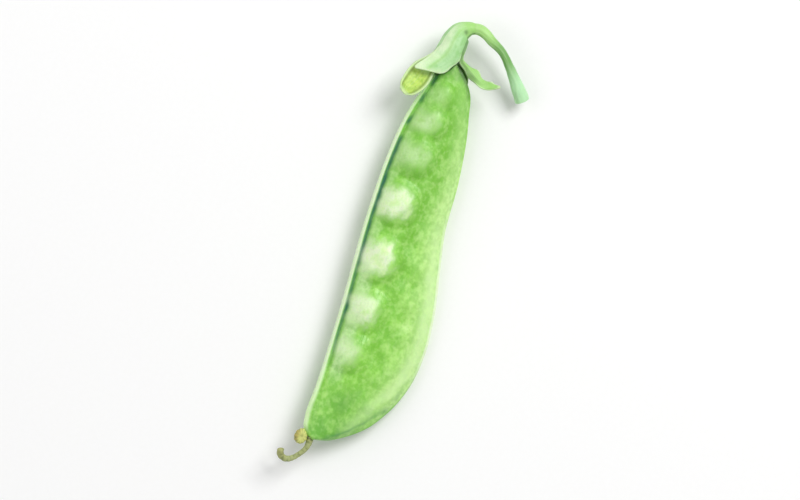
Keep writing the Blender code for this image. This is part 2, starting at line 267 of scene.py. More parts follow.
class Signal:
    """A number that varies over a surface: a socket, on which arithmetic adds Math nodes."""

    def __init__(self, bench: "Bench", socket: bpy.types.NodeSocket) -> None:
        """Wrap an output socket of the bench's tree."""
        self.bench = bench
        self.socket = socket

    def math(self, operation: str, *values: "Signal | float") -> "Signal":
        """Add one Math node.

        Args:
            operation: the node's operation.
            values: its inputs in order.

        Returns:
            Its output.
        """
        node = self.bench.node("ShaderNodeMath", {"operation": operation}, dict(enumerate(values)))
        return Signal(self.bench, node.outputs[0])

    def __add__(self, other: "Signal | float") -> "Signal":
        """self + other."""
        return self.math("ADD", self, other)

    def __radd__(self, other: float) -> "Signal":
        """other + self."""
        return self.math("ADD", other, self)

    def __sub__(self, other: "Signal | float") -> "Signal":
        """self - other."""
        return self.math("SUBTRACT", self, other)

    def __rsub__(self, other: float) -> "Signal":
        """other - self."""
        return self.math("SUBTRACT", other, self)

    def __mul__(self, other: "Signal | float") -> "Signal":
        """self * other."""
        return self.math("MULTIPLY", self, other)

    def __rmul__(self, other: float) -> "Signal":
        """other * self."""
        return self.math("MULTIPLY", other, self)

    def __abs__(self) -> "Signal":
        """Its size without its sign."""
        return self.math("ABSOLUTE", self)

    def rise(self, low: float, high: float) -> "Signal":
        """Rise smoothly from 0 where it is low to 1 where it is high.

        Args:
            low: the value that gives 0.
            high: the value that gives 1, which may be under low.

        Returns:
            A number between 0 and 1.
        """
        settings = {"interpolation_type": "SMOOTHSTEP", "clamp": True}
        node = self.bench.node("ShaderNodeMapRange", settings, {0: self, 1: low, 2: high, 3: 0.0, 4: 1.0})
        return Signal(self.bench, node.outputs[0])


@dataclass(frozen=True)
class Wash:
    """One layer of colour, where a mask puts it.

    strength: how much of it. patchiness: how far that goes up and down with the noise beneath.
    rise: where the noise starts to let it through and where it lets all through, in place of both.
    """

    mask: str
    colour: Colour
    strength: float = 1.0
    patchiness: float = 0.0
    rise: tuple[float, float] | None = None


class Bench:
    """One material and the ways to add nodes to it."""

    def __init__(self, name: str) -> None:
        """Start a material with a Principled shader and nothing else."""
        self.material = bpy.data.materials.new(name)
        self.material.use_nodes = True
        self.tree = self.material.node_tree
        self.shader = self.tree.nodes["Principled BSDF"]
        self.object_place = self.node("ShaderNodeTexCoord", {}, {}).outputs["Object"]

    def plug(self, socket: bpy.types.NodeSocket, value: Any) -> None:
        """Give a socket a link, a number, a vector or a colour."""
        if isinstance(value, Signal):
            value = value.socket
        if isinstance(value, bpy.types.NodeSocket):
            self.tree.links.new(value, socket)
        elif socket.type == "RGBA":
            socket.default_value = (*value, 1.0)
        else:
            socket.default_value = value

    def node(self, kind: str, settings: dict[str, Any], sockets: dict[int | str, Any]) -> bpy.types.Node:
        """Add a node.

        Args:
            kind: its type.
            settings: its own properties, set first.
            sockets: what each named or numbered input gets.

        Returns:
            The node.
        """
        made = self.tree.nodes.new(kind)
        for name, value in settings.items():
            setattr(made, name, value)
        for name, value in sockets.items():
            self.plug(made.inputs[name], value)
        return made

    def carried(self, name: str) -> bpy.types.Node:
        """The node that reads what a mesh carries at each vertex under a name."""
        return self.node("ShaderNodeAttribute", {"attribute_type": "GEOMETRY", "attribute_name": name}, {})

    def painted(self, name: str) -> Signal:
        """The number that a mesh carries under a name."""
        return Signal(self, self.carried(name).outputs["Fac"])

    def woven(self, name: str) -> bpy.types.NodeSocket:
        """The vector that a mesh carries under a name."""
        return self.carried(name).outputs["Vector"]

    def stretched(self, place: bpy.types.NodeSocket, scale: tuple[float, float, float]) -> Any:
        """A place with each of its coordinates multiplied."""
        made = self.node("ShaderNodeVectorMath", {"operation": "MULTIPLY"}, {0: place, 1: scale})
        return made.outputs[0]

    def clouds(self, size: float, detail: float, place: Any = None, warp: float = 0.0) -> Signal:
        """Noise on the object's own coordinates.

        Args:
            size: of its patches, in the units of place.
            detail: how many finer layers it has.
            place: where to read it, if not the object's place in metres.
            warp: how much it is distorted.

        Returns:
            A number about 0.5.
        """
        sockets = {
            "Vector": self.object_place if place is None else place,
            "Scale": 1 / size,
            "Detail": detail,
            "Roughness": 0.55,
            "Distortion": warp,
        }
        return Signal(self, self.node("ShaderNodeTexNoise", {}, sockets).outputs[0])

    def mix(self, share: Signal | float, under: Any, over: Any, blend: Blend = Blend.MIX) -> Any:
        """Lay one colour over another.

        Args:
            share: how much of it.
            under: the first colour.
            over: the second colour.
            blend: how they mix.

        Returns:
            The colour that comes out.
        """
        settings = {"data_type": "RGBA", "blend_type": blend.value, "clamp_factor": True}
        return self.node("ShaderNodeMix", settings, {0: share, 6: under, 7: over}).outputs[2]

    def wash(self, under: Any, washes: tuple[Wash, ...], patches: Signal) -> Any:
        """Lay washes over a colour in turn.

        Each covers by its mask times strength + patchiness (patches - 0.5), or times a rise of the patches.

        Args:
            under: the first colour.
            washes: what goes over it.
            patches: noise about 0.5.

        Returns:
            The colour that comes out.
        """
        for wash in washes:
            cover = wash.strength
            if wash.rise:
                cover = patches.rise(*wash.rise)
            elif wash.patchiness:
                cover = wash.strength + wash.patchiness * (patches - 0.5)
            under = self.mix(self.painted(wash.mask) * cover, under, wash.colour)
        return under

    def bump(self, height: Signal, depth: float, strength: float) -> Any:
        """A normal that follows a height given as a share of depth, in metres."""
        sockets = {"Height": height, "Distance": depth, "Strength": strength}
        return self.node("ShaderNodeBump", {}, sockets).outputs["Normal"]

    def finish(self, **sockets: Any) -> bpy.types.Material:
        """Set the shader's own sockets, each named with _ for a space, and return the material."""
        for name, value in sockets.items():
            self.plug(self.shader.inputs[name.replace("_", " ")], value)
        return self.material


@dataclass(frozen=True)
class PodSkin:
    """The pod's waxy skin: fresh green, pale over the peas, along the sutures and down the back."""

    flesh: Colour = srgb(150, 218, 82)
    deep: Colour = srgb(131, 203, 66)
    back: Colour = srgb(206, 246, 156)
    pea: Colour = srgb(222, 250, 184)
    bright: Colour = srgb(240, 252, 222)
    sap: Colour = srgb(190, 238, 140)
    grain: Colour = srgb(112, 186, 46)
    shade: Colour = srgb(206, 222, 190)
    under_peas: tuple[Wash, ...] = (
        Wash("ripe", srgb(122, 194, 60)),
        Wash("back", back, 0.86, 0.3),
        Wash("belt", srgb(112, 184, 38), 0.66, 1.0),
        Wash("gap", srgb(126, 198, 58), rise=(0.25, 0.6)),
        Wash("strip", srgb(196, 236, 164), 0.9),
        Wash("tip", srgb(98, 172, 66), rise=(0.05, 0.8)),
        # Darker green at the neck, partly painted shade beside the calyx.
        Wash("neck", srgb(78, 152, 44)),
    )
    over_peas: tuple[Wash, ...] = (
        # A pale streak near the tip: a painted highlight.
        Wash("highlight_band", srgb(214, 248, 176), 0.62, 0.6),
        Wash("dusk", srgb(90, 158, 52), 0.6, 0.8),
        Wash("seam", srgb(88, 158, 84), 0.6),
        Wash("tip_edge", srgb(222, 248, 194), 0.8),
        Wash("outline", srgb(132, 190, 104), 0.8),
        Wash("rim", srgb(236, 250, 218)),
        Wash("groove", srgb(46, 116, 84)),
        Wash("ridge", srgb(220, 244, 198)),
        # Painted shadow of the calyx's broad sepal on the neck.
        Wash("sepal_shadow", srgb(40, 86, 26), 0.85),
    )

    def make(self) -> bpy.types.Material:
        """Mix the colours by the masks that the mesh carries, then mottle and vein them."""
        bench = Bench("pod_skin")
        cloud = bench.clouds(3.6 * MM, 3.0)
        blot = bench.clouds(1.9 * MM, 2.0)
        grain = bench.clouds(0.95 * MM, 1.5)
        fleck = bench.clouds(0.42 * MM, 2.0)
        fibre = bench.clouds(1.0, 3.0, bench.stretched(bench.woven("skin"), (0.32, 1.5, 1.0)), 0.8)
        vein = abs(fibre - 0.5).rise(0.05, 0.0)
        rough = (blot - 0.5) * 0.9 + (grain - 0.5) * 0.5
        disc = (bench.painted("pea") + rough).rise(0.12, 1.0) * bench.painted("pale")

        colour = bench.mix(cloud.rise(0.36, 0.66), self.flesh, self.deep)
        colour = bench.wash(colour, self.under_peas, blot)
        washed = bench.mix(blot.rise(0.3, 0.7), self.bright, self.pea)
        sappy = cloud.rise(0.4, 0.75) * (0.6 - 0.5 * bench.painted("pea"))
        colour = bench.mix(disc, colour, bench.mix(sappy, washed, self.sap))
        colour = bench.mix(vein * 0.06, colour, self.back)
        # Specks: noise, where they start and are full, strength, how much less on a pea, and colour.
        for noise, low, high, strength, loss, speck in (
            (blot, 0.36, 0.72, 0.34, 0.30, self.grain),
            (blot, 0.60, 0.28, 0.18, 0.14, self.back),
            (grain, 0.35, 0.75, 0.26, 0.20, self.grain),
            (grain, 0.60, 0.25, 0.16, 0.12, self.back),
        ):
            colour = bench.mix(noise.rise(low, high) * (strength - loss * disc), colour, speck)
        colour = bench.mix(fleck.rise(0.42, 0.72) * 0.16, colour, self.shade, Blend.MULTIPLY)
        colour = bench.wash(colour, self.over_peas, blot)

        height = vein * 0.5 + fleck * 0.5 + cloud * 0.6
        return bench.finish(
            Base_Color=colour,
            Roughness=0.40 + 0.16 * (blot - 0.5) + 0.10 * bench.painted("groove"),
            Normal=bench.bump(height, 0.05 * MM, 0.8),
            Coat_Weight=0.12,
            Coat_Roughness=0.35,
            Subsurface_Weight=0.16,
            Subsurface_Radius=(1.2, 2.0, 0.6),
            Subsurface_Scale=1.0 * MM,
        )


@dataclass(frozen=True)
class SepalGreen:
    """The calyx: mint outside with pale veins, yellow-green inside, with a pale rim."""

    mint: Colour = srgb(152, 206, 132)
    cool: Colour = srgb(176, 220, 160)
    leaf: Colour = srgb(150, 204, 96)
    inside: Colour = srgb(196, 226, 100)
    inside_deep: Colour = srgb(160, 200, 72)
    pale: Colour = srgb(220, 242, 198)
    olive: Colour = srgb(122, 150, 60)
    base: Colour = srgb(158, 210, 116)
    # Dark green for the scar and for painted shade.
    deep: Colour = srgb(62, 104, 38)
    outer: tuple[Wash, ...] = (
        Wash("yellow", leaf),
        Wash("base", base),
        # Pale bloom with a painted highlight on the front sepal's left side and end.
        Wash("bloom_and_highlight", pale, 0.8, 1.2),
        Wash("stripe", base, 0.5),
    )

    def make(self) -> bpy.types.Material:
        """Mix the outer and inner colours by the mask that the mesh carries, then vein and rim them."""
        bench = Bench("calyx_green")
        cloud = bench.clouds(2.2 * MM, 2.0, warp=0.4)
        blot = bench.clouds(0.8 * MM, 3.0, warp=0.5)
        fleck = bench.clouds(0.22 * MM, 2.0)
        inner, vein = bench.painted("inner"), bench.painted("vein")

        outside = bench.mix(cloud.rise(0.35, 0.65), self.mint, self.cool)
        outside = bench.wash(outside, self.outer, cloud)
        outside = bench.mix(vein * (0.1 + 0.5 * (cloud - 0.4)), outside, self.pale)
        outside = bench.mix(bench.painted("scar"), outside, self.deep)
        inside = bench.mix(blot.rise(0.3, 0.7), self.inside, self.inside_deep)
        inside = bench.mix(vein * 0.15, inside, self.pale)
        inside = bench.mix(bench.painted("pale_root") * 0.8, inside, self.pale)
        colour = bench.mix(inner, outside, inside)
        colour = bench.mix(bench.painted("olive") * inner, colour, self.olive)
        colour = bench.mix(bench.painted("rim") * 0.6, colour, self.pale)
        # Painted shade from the deep mask, stronger on the inner faces.
        colour = bench.mix(bench.painted("deep") * (0.55 + 0.45 * inner), colour, self.deep)
        colour = bench.mix(fleck.rise(0.45, 0.75) * 0.15, colour, self.leaf, Blend.MULTIPLY)

        height = vein * 0.35 + blot * 0.5 + fleck * 0.25
        return bench.finish(
            Base_Color=colour,
            Roughness=0.5 + 0.2 * (blot - 0.5),
            Normal=bench.bump(height, 0.05 * MM, 0.8),
            Coat_Weight=0.06,
            Coat_Roughness=0.4,
            Subsurface_Weight=0.18,
            Subsurface_Radius=(1.0, 1.6, 0.5),
            Subsurface_Scale=0.6 * MM,
        )


@dataclass(frozen=True)
class StalkGreen:
    """The stalk: yellow-green near the calyx, with painted shade along its under side, mint at the swollen
    foot.
    """

    fresh: Colour = srgb(166, 214, 124)
    middle: Colour = srgb(114, 168, 86)
    foot: Colour = srgb(182, 228, 176)
    # Painted shade along the under side.
    under: Colour = srgb(88, 142, 72)
    pale: Colour = srgb(214, 238, 196)
    cut: Colour = srgb(206, 228, 170)
    cut_ring: Colour = srgb(150, 188, 110)

    def make(self) -> bpy.types.Material:
        """Run the colours along the stalk, stripe it lengthwise, and ring its cut face."""
        bench = Bench("stalk_green")
        along, under = bench.painted("along"), bench.painted("under")
        blot = bench.clouds(1.1 * MM, 3.0, warp=0.4)
        fleck = bench.clouds(0.25 * MM, 2.0)
        stripe = bench.clouds(1.0, 2.0, bench.woven("stripe"), 0.2)

        colour = bench.mix(along.rise(0.16, 0.4), self.fresh, self.middle)
        colour = bench.mix(along.rise(0.5, 0.82), colour, self.foot)
        colour = bench.mix(under * (0.65 + 0.5 * (blot - 0.5)), colour, self.under)
        colour = bench.mix(stripe.rise(0.5, 0.75) * 0.4, colour, self.pale)
        cut = bench.mix(bench.painted("ring"), self.cut, self.cut_ring)
        colour = bench.mix(bench.painted("cut"), colour, cut)
        colour = bench.mix(fleck.rise(0.45, 0.75) * 0.2, colour, self.fresh, Blend.MULTIPLY)

        height = stripe * 0.8 + fleck * 0.4 + blot * 0.3
        return bench.finish(
            Base_Color=colour,
            Roughness=0.45 + 0.15 * (blot - 0.5) + 0.2 * bench.painted("cut"),
            Normal=bench.bump(height, 0.06 * MM, 0.8),
            Coat_Weight=0.08,
            Coat_Roughness=0.4,
            Subsurface_Weight=0.15,
            Subsurface_Radius=(1.0, 1.6, 0.5),
            Subsurface_Scale=0.6 * MM,
        )


@dataclass(frozen=True)
class DriedStyle:
    """The dried style: olive and tan, with painted shade in its creases."""

    olive: Colour = srgb(168, 176, 118)
    tan: Colour = srgb(212, 216, 124)
    brown: Colour = srgb(164, 138, 60)
    dark: Colour = srgb(112, 124, 72)

    def make(self) -> bpy.types.Material:
        """Blotch the colours and paint shade into the creases that the mesh carries."""
        bench = Bench("dried_style")
        blot = bench.clouds(0.6 * MM, 3.0, warp=0.6)
        fleck = bench.clouds(0.12 * MM, 2.0)
        crease = bench.painted("crease")
        colour = bench.mix(bench.painted("knob"), self.olive, self.tan)
        colour = bench.mix(bench.painted("brown") * (0.7 + 0.6 * (blot - 0.5)), colour, self.brown)
        # Painted shade in the creases and the knob's dimple, with random dark blotches.
        colour = bench.mix(crease * 0.6 + blot.rise(0.5, 0.8) * 0.35, colour, self.dark)
        return bench.finish(
            Base_Color=colour,
            Roughness=0.62 + 0.2 * (blot - 0.5),
            Normal=bench.bump(blot * 0.6 + fleck * 0.4, 0.05 * MM, 0.9),
            Subsurface_Weight=0.05,
            Subsurface_Radius=(1.0, 0.9, 0.4),
            Subsurface_Scale=0.4 * MM,
        )


@dataclass(frozen=True)
class Paper:
    """The pale matt surface that the pod lies on."""

    white: Colour = (0.93, 0.93, 0.928)
    warm: Colour = (0.925, 0.925, 0.921)

    def make(self) -> bpy.types.Material:
        """Nearly even white, with the faintest tooth."""
        bench = Bench("paper")
        tooth = bench.clouds(0.9 * MM, 3.0)
        colour = bench.mix(tooth.rise(0.4, 0.6), self.white, self.warm)
        return bench.finish(Base_Color=colour, Roughness=0.85, Normal=bench.bump(tooth, 0.01 * MM, 0.3))


# Pieces


@dataclass
class Piece:
    """What every piece has: its node in the frame and how the pod lies."""

    part: Part
    lie: Lie

    def place(
        self,
        name: str,
        points: Array,
        faces: list[Array],
        masks: dict[str, Array],
        finish: bpy.types.Material,
    ) -> bpy.types.Object:
        """Make a finished piece of the part out of its points.

        Args:
            name: the piece's own.
            points: in the pod's frame, in millimetres, one row each.
            faces: arrays of vertex numbers, faces of one kind in each.
            masks: numbers or vectors that each vertex carries.
            finish: its material.

        Returns:
            The piece, riding on the frame in its node's place.
        """
        mesh = bpy.data.meshes.new(name)
        corners_of = [face for group in faces for face in group.tolist()]
        mesh.from_pydata(self.lie.to_row(points).tolist(), [], corners_of)
        for mask, values in masks.items():
            vector = values.ndim == 2
            kind = "FLOAT_VECTOR" if vector else "FLOAT"
            carried = mesh.attributes.new(mask, kind, "POINT")
            carried.data.foreach_set("vector" if vector else "value", values.astype(np.float32).ravel())
        mesh.materials.append(finish)
        mesh.update()
        mesh.shade_smooth()
        made = bpy.data.objects.new(name, mesh)
        bpy.context.scene.collection.objects.link(made)
        node, slot = self.part.value
        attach(made, BODY)
        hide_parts(node)
        log.info("%s: %d vertices, %d faces", name, len(mesh.vertices), len(mesh.polygons))
        return made

    def place_tube(
        self, name: str, grid: Array, poles: Array, masks: dict[str, Array], finish: bpy.types.Material
    ) -> bpy.types.Object:
        """Make a finished piece out of a closed grid whose first and last row each end in a pole.

        Args:
            name: the piece's own.
            grid: points in the pod's frame, rows by columns.
            poles: the two points that close it.
            masks: what each point of the grid carries. A pole carries the mean of the row beside it.
            finish: its material.

        Returns:
            The piece.
        """
        points = np.concatenate([grid.reshape(-1, 3), poles])
        masks = {mask: with_poles(values) for mask, values in masks.items()}
        return self.place(name, points, tube_faces(*grid.shape[:2]), masks, finish)


@dataclass
class Pod(Piece):
    """The closed pod: two valves grown together, with a cord along each suture and a swelling a pea."""

    length: float = 83.0
    ventral_edge: Stations = (
        (0, -1.0), (0.8, 0.2), (1.8, 0.95), (4, 1.5), (10, 1.7), (20, 2.45), (30, 3.5), (40, 4.75),
        (50, 5.65), (58, 6.0), (65, 5.8), (74, 4.3), (79, 3.3), (83, 2.8),
    )
    dorsal_edge: Stations = (
        (0, -1.9), (1, -4.6), (2, -6.25), (5, -10.0), (10, -13.5), (16, -15.7), (23, -16.3), (31, -15.2),
        (40, -12.75), (47, -10.8), (58, -9.3), (70, -6.3), (75.5, -4.0), (77.7, -1.9),
        (79.2, 0.2), (81, 1.1), (83, 1.3),
    )
    wall_half: Stations = (
        (0, 1.7), (4, 2.2), (10, 2.9), (18, 3.5), (30, 3.8), (45, 3.7), (60, 3.4), (70, 2.8),
        (76, 2.2), (80, 1.7), (83, 1.45),
    )
    # Distance from the tip, y and radius of each pea, the radius that shows, and how pale it looks.
    peas: tuple[tuple[float, float, float, float, float], ...] = (
        (19.0, -1.4, 4.7, 2.5, 0.66), (27.5, -1.0, 5.1, 3.3, 0.9), (38.0, 0.3, 5.3, 3.6, 1.0),
        (49.3, 1.0, 5.2, 3.4, 0.95), (59.3, 1.4, 4.9, 3.0, 0.4), (66.6, 1.3, 4.2, 2.5, 0.5),
        (72.0, 1.2, 3.4, 2.0, 0.3),
    )
    # Where the calyx's broad sepal ends over the pod: shadow is painted on the skin under it.
    sepal_margin: Stations = ((80.5, 0.1), (78.2, 1.15), (76.8, 2.1), (76.1, 3.2), (75.8, 4.6))
    # (distance from the tip, distance in from the dorsal edge) of the pale band, a painted highlight, and of
    # the dark seam there.
    highlight_band_line: Stations = ((3, 1.4), (6, 3.1), (10, 4.0), (14, 3.0), (24, 1.9), (40, 1.9))
    seam_line: Stations = ((0.5, 0.9), (2, 1.9), (5, 2.1), (9, 1.7), (14, 1.1), (18, 0.9))
    # Where along the pod each mask comes in and goes out: the (start, over) of its ramps.
    runs: tuple[tuple[str, Stations], ...] = (
        ("gap", ((11, 5), (76, -3))),
        ("belt", ((13, 6), (74, -8))),
        ("strip", ((10, 7), (79, -3))),
        ("ridge", ((5, 11),)),
        ("tip_edge", ((0.5, 2), (20, -8))),
        ("rim", ((14, 12), (58, -20))),
        ("outline", ((27, -12),)),
        ("highlight_band", ((2.5, 2),)),
        ("seam", ((0.5, 1.5), (20, -6))),
        ("back", ((4, 9), (76, -24))),
    )
    fullness: tuple[float, float] = (0.5, 0.6)
    end_reach: tuple[float, float] = (0.7, 0.6)
    crowding: float = 0.6
    skin_blend: float = 3.0
    ventral_cord: tuple[float, float] = (0.62, 0.80)
    dorsal_cord: tuple[float, float] = (0.42, 0.45)
    groove_inset: float = 0.95
    # The groove dies out towards the tip: how much of its inset goes, from where and over what distance.
    groove_fade: tuple[float, float, float] = (0.75, 17.0, 13.0)
    dorsal_inset: float = 0.30
    cord_blend: float = 0.35
    edge_closing: float = 0.1
    # How high the tip and the neck lift, and from how far in.
    tip_lift: tuple[float, float] = (1.4, 25.0)
    neck_lift: tuple[float, float] = (1.6, 28.0)
    unevenness: float = 0.035
    rings: int = 430
    columns: int = 208

    def edges(self, x: Array) -> tuple[Array, Array, Array]:
        """The two sutures at a station.

        Near each end the section shrinks as an ellipse does, by the root of 1 - s².

        Args:
            x: distance from the tip.

        Returns:
            y of the ventral edge, y of the dorsal edge, and the share of the full section there.
        """
        tip = 1 - np.clip(x / self.end_reach[0], 0.0, 1.0)
        neck = 1 - np.clip((self.length - x) / self.end_reach[1], 0.0, 1.0)
        scale = np.sqrt(1 - tip**2) * np.sqrt(1 - neck**2)
        ventral, dorsal = smooth_through(self.ventral_edge, x), smooth_through(self.dorsal_edge, x)
        middle, half = (ventral + dorsal) / 2, (ventral - dorsal) / 2 * scale
        return middle + half, middle - half, scale

    def half_thickness(self, x: Array, y: Array, ventral: Array, dorsal: Array, scale: Array) -> Array:
        """Half thickness between the two edges.

        A lens, (1 - a) and (1 + a) each to its fullness with a from -1 to 1 across, times the thickness of
        the wall or of the pea under it, whichever is more. A dome along each edge is the suture's cord.

        Args:
            x: distance from the tip.
            y: across.
            ventral: y of the ventral edge there.
            dorsal: y of the dorsal edge there.
            scale: share of the full section that is left near the ends.

        Returns:
            Half the thickness.
        """
        room = scale * np.clip((ventral - dorsal) / 8, 0.15, 1.0)
        lost, fade_from, fade_over = self.groove_fade
        groove_inset = self.groove_inset * (1 - lost * smooth_step((fade_from - x) / fade_over))
        low, high = dorsal + self.dorsal_inset * room, ventral - groove_inset * room
        across = np.clip((2 * y - low - high) / np.maximum(high - low, 1e-6), -1.0, 1.0)
        front, back = self.fullness
        peak_at = (back - front) / (back + front)
        lens = ((1 - across) / (1 - peak_at)) ** front * ((1 + across) / (1 + peak_at)) ** back
        thickness = scale * smooth_through(self.wall_half, x)
        blend = np.clip(thickness, 0.01, self.skin_blend)
        for pea_x, pea_y, radius, _, _ in self.peas:
            ball = dome(np.hypot(x - pea_x, y - pea_y), radius, radius)
            thickness = smooth_max(thickness, ball, blend)
        wall = lens * thickness
        cords = ((ventral - y, self.ventral_cord), (y - dorsal, self.dorsal_cord))
        for inset, (half_width, half_height) in cords:
            reach = np.maximum(half_width * room, 1e-6)
            wall = smooth_max(wall, dome(inset - reach, reach, half_height * room), self.cord_blend)
        return wall * np.sqrt(smooth_step(np.minimum(ventral - y, y - dorsal) / self.edge_closing))

    def middle_lift(self, x: Array) -> Array:
        """How far the plane between the valves has curved up: a parabola from each end's reach."""
        tip = self.tip_lift[0] * np.clip(1 - x / self.tip_lift[1], 0.0, None) ** 2
        neck_start = self.length - self.neck_lift[1]
        return tip + self.neck_lift[0] * np.clip((x - neck_start) / self.neck_lift[1], 0.0, None) ** 2

    def masks(self, x: Array, y: Array, ventral: Array, dorsal: Array, side: Array) -> dict[str, Array]:
        """Where the skin's colours go.

        Args:
            x: distance from the tip.
            y: across.
            ventral: y of the ventral edge there.
            dorsal: y of the dorsal edge there.
            side: 1 on the upper valve, -1 on the lower.

        Returns:
            The masks, 0 to 1, and the place on the skin for the veins.
        """
        spot = np.stack([x, y, 8 * side], axis=-1)
        wobble = 0.8 * ripple(spot, 4.2, 5) + 0.6 * ripple(spot, 1.9, 6)
        inset, rise = ventral - y, y - dorsal
        width = np.maximum(ventral - dorsal, 1e-6)
        pea, row, pale, near = (np.zeros_like(x) for _ in range(4))
        for pea_x, pea_y, _, shown, paleness in self.peas:
            along, above = (x - pea_x) / 1.04, y - pea_y
            reach = np.hypot(along, above - 0.3) + 0.5 * wobble
            # The pale runs on towards the ventral edge.
            toward = np.hypot(along, 0.6 * np.clip(above, 0, None) + np.clip(-above, 0, None)) + 0.5 * wobble
            pea = np.maximum(pea, smooth_step((shown + 1.5 - np.minimum(reach, toward)) / 4.0))
            row = np.maximum(row, smooth_step((shown + 1.4 - reach) / 1.4))
            weight = bump_at(x - pea_x, 3.0) + 1e-9
            pale, near = pale + weight * paleness, near + weight
        groove = bump_at(inset - self.groove_inset - 0.05 * wobble, 0.40)
        dashes = 0.55 + 0.45 * np.sin(x * 2 * math.pi / 4.6 + 0.6 * wobble)
        run = ramp(x, 12, 10) * (1 - ramp(x, 60, 3) * (1 - dashes * ramp(x, 78, -3)))
        bold = 0.82 + 0.18 * bump_at(x - 50, 11) + 0.08 * wobble
        pea_row = np.interp(x, *np.array(self.peas)[:, :2].T)
        belt_drop, belt_width = 4.4 + 1.2 * bump_at(x - 58, 5.0), 1.8 + 0.7 * bump_at(x - 57, 7.0)
        belt = bump_at(y - pea_row + belt_drop + 0.6 * wobble, belt_width)
        strip_width = 4.7 - 1.3 * ramp(x, 32, 8)
        strip = ramp(inset, 1.3, 0.5) * smooth_step((strip_width - inset + 0.5 * wobble) / 1.8)
        # The pale streak near the tip is a painted highlight.
        highlight_band_rise = rise - np.interp(x, *np.array(self.highlight_band_line).T)
        highlight_band = bump_at(highlight_band_rise + 0.3 * wobble, 1.6 - 0.1 * ramp(x, 12, 10))
        seam = bump_at(rise - np.interp(x, *np.array(self.seam_line).T) + 0.25 * wobble, 0.5)
        dusk = np.hypot((x - 9.6) / 3.0, (y + 4.7 + 0.3 * (x - 9.6)) / 2.0)
        margin = np.interp(y, *np.array(self.sepal_margin).T[::-1])
        masks = {
            "pea": pea,
            "pale": pale / near,
            "gap": 0.85 * (1 - row) * ramp(inset, 1.4, 1.0) * smooth_step((7.5 - inset + 0.8 * wobble) / 4.0),
            "ripe": ramp(x, 40, 9) * (0.6 + 0.3 * ramp(x, 52, 6)),
            "belt": belt * (0.35 + 0.65 * ramp(x, 30, 12)),
            "strip": strip * (1 - 0.45 * ramp(x, 37, 8) - 0.25 * ramp(x, 62, 6)),
            "groove": np.clip(groove * run * bold, 0, 1),
            "ridge": ramp(inset, 0.7, -0.32) * (1 - 0.45 * ramp(x, 63, 8)),
            "tip_edge": ramp(inset, 1.08, -0.65),
            "rim": 0.8 * ramp(rise, 0.75, -0.4),
            "outline": ramp(rise, 0.5, -0.3) * (0.8 + 0.2 * wobble),
            "highlight_band": highlight_band * (1 - 0.75 * ramp(x, 38, 14)) * (0.6 + 0.4 * ramp(x, 9, 6)),
            "dusk": 0.9 * bump_at(dusk + 0.2 * wobble, 1.0),
            "seam": seam * (0.75 + 0.35 * wobble),
            "back": smooth_step(1.05 - rise / np.maximum(0.50 * width, 1e-6) + 0.12 * wobble),
            "tip": smooth_step((13 - x + 2 * wobble) / 11) * ramp(inset, 0.8, 0.6),
            # Darker green at the neck, partly painted shade beside the calyx.
            "neck": smooth_step((x - 74.5 - wobble) / 4.5) * ramp(inset, 0.5, 0.8),
            # Painted shadow where the broad sepal lies over the upper valve.
            "sepal_shadow": smooth_step((x - margin + 0.9) / 0.7) * (side > 0),
            "skin": spot,
        }
        for name, ramps in self.runs:
            for start, over in ramps:
                masks[name] = masks[name] * ramp(x, start, over)
        return masks

    def build(self, finish: bpy.types.Material) -> bpy.types.Object:
        """Carry the section from the tip to the neck.

        Ring i stands at x = L (p - c sin 2p / 2) / pi for an angle p from 0 to pi, so the rings crowd at
        both ends, and column j stands at y = middle + half width times the cosine of its angle, at plus or
        minus the half thickness there.

        Args:
            finish: the skin.

        Returns:
            The pod.
        """
        polar = np.linspace(0, math.pi, self.rings + 2)[1:-1]
        x = self.length * (polar - self.crowding * np.sin(2 * polar) / 2) / math.pi
        angle = np.linspace(0, 2 * math.pi, self.columns, endpoint=False)
        x = np.repeat(x[:, None], self.columns, axis=1)
        ventral, dorsal, scale = self.edges(x)
        y = (ventral + dorsal) / 2 + (ventral - dorsal) / 2 * np.cos(angle)
        side = np.where(np.abs(np.sin(angle)) < 1e-9, 0.0, np.sign(np.sin(angle)))
        side = np.broadcast_to(side, x.shape)
        height = self.half_thickness(x, y, ventral, dorsal, scale)
        spot = np.stack([x, y, 9 * side], axis=-1)
        height = height * (1 + self.unevenness * ripple(spot, 4.5, 11) * smooth_step(height / 2))
        points = np.stack([x, y, side * height + self.middle_lift(x)], axis=-1)
        ends = np.array([[0.0, 0.0, 0.0], [self.length, 0.0, 0.0]])
        ends[:, 1] = [(self.ventral_edge[k][1] + self.dorsal_edge[k][1]) / 2 for k in (0, -1)]
        ends[:, 2] = self.middle_lift(ends[:, 0])
        grid, poles = self.lie.press_flat(points), self.lie.press_flat(ends)
        return self.place_tube("pod_body", grid, poles, self.masks(x, y, ventral, dorsal, side), finish)


@dataclass(frozen=True)
class Sepal:
    """One lobe of the calyx. Angles are in degrees, lengths in millimetres.

    span: how much of the bell's round it takes up. length: along its middle line, past the bell's mouth.
    spread, curl: how far it bends away from the bell's axis, at first and in its last half.
    lean: how far it turns aside. twist: how far its face turns about its own length.
    spread_by, lean_by, twist_by: the shares of its length in which it does so.
    skew: how far one margin runs ahead of the other, as a share of the half width.
    widths: its outline. cupping: half the angle of its arc at the end. columns: faces across it.
    yellow: how yellow its outer face is. waves: how far its margin waves.
    """

    span: float
    length: float
    spread: float
    curl: float
    lean: float
    twist: float
    widths: Stations
    cupping: float
    columns: int
    yellow: float = 0.0
    waves: float = 0.0
    spread_by: float = 0.5
    lean_by: float = 0.6
    twist_by: float = 1.0
    skew: float = 0.0


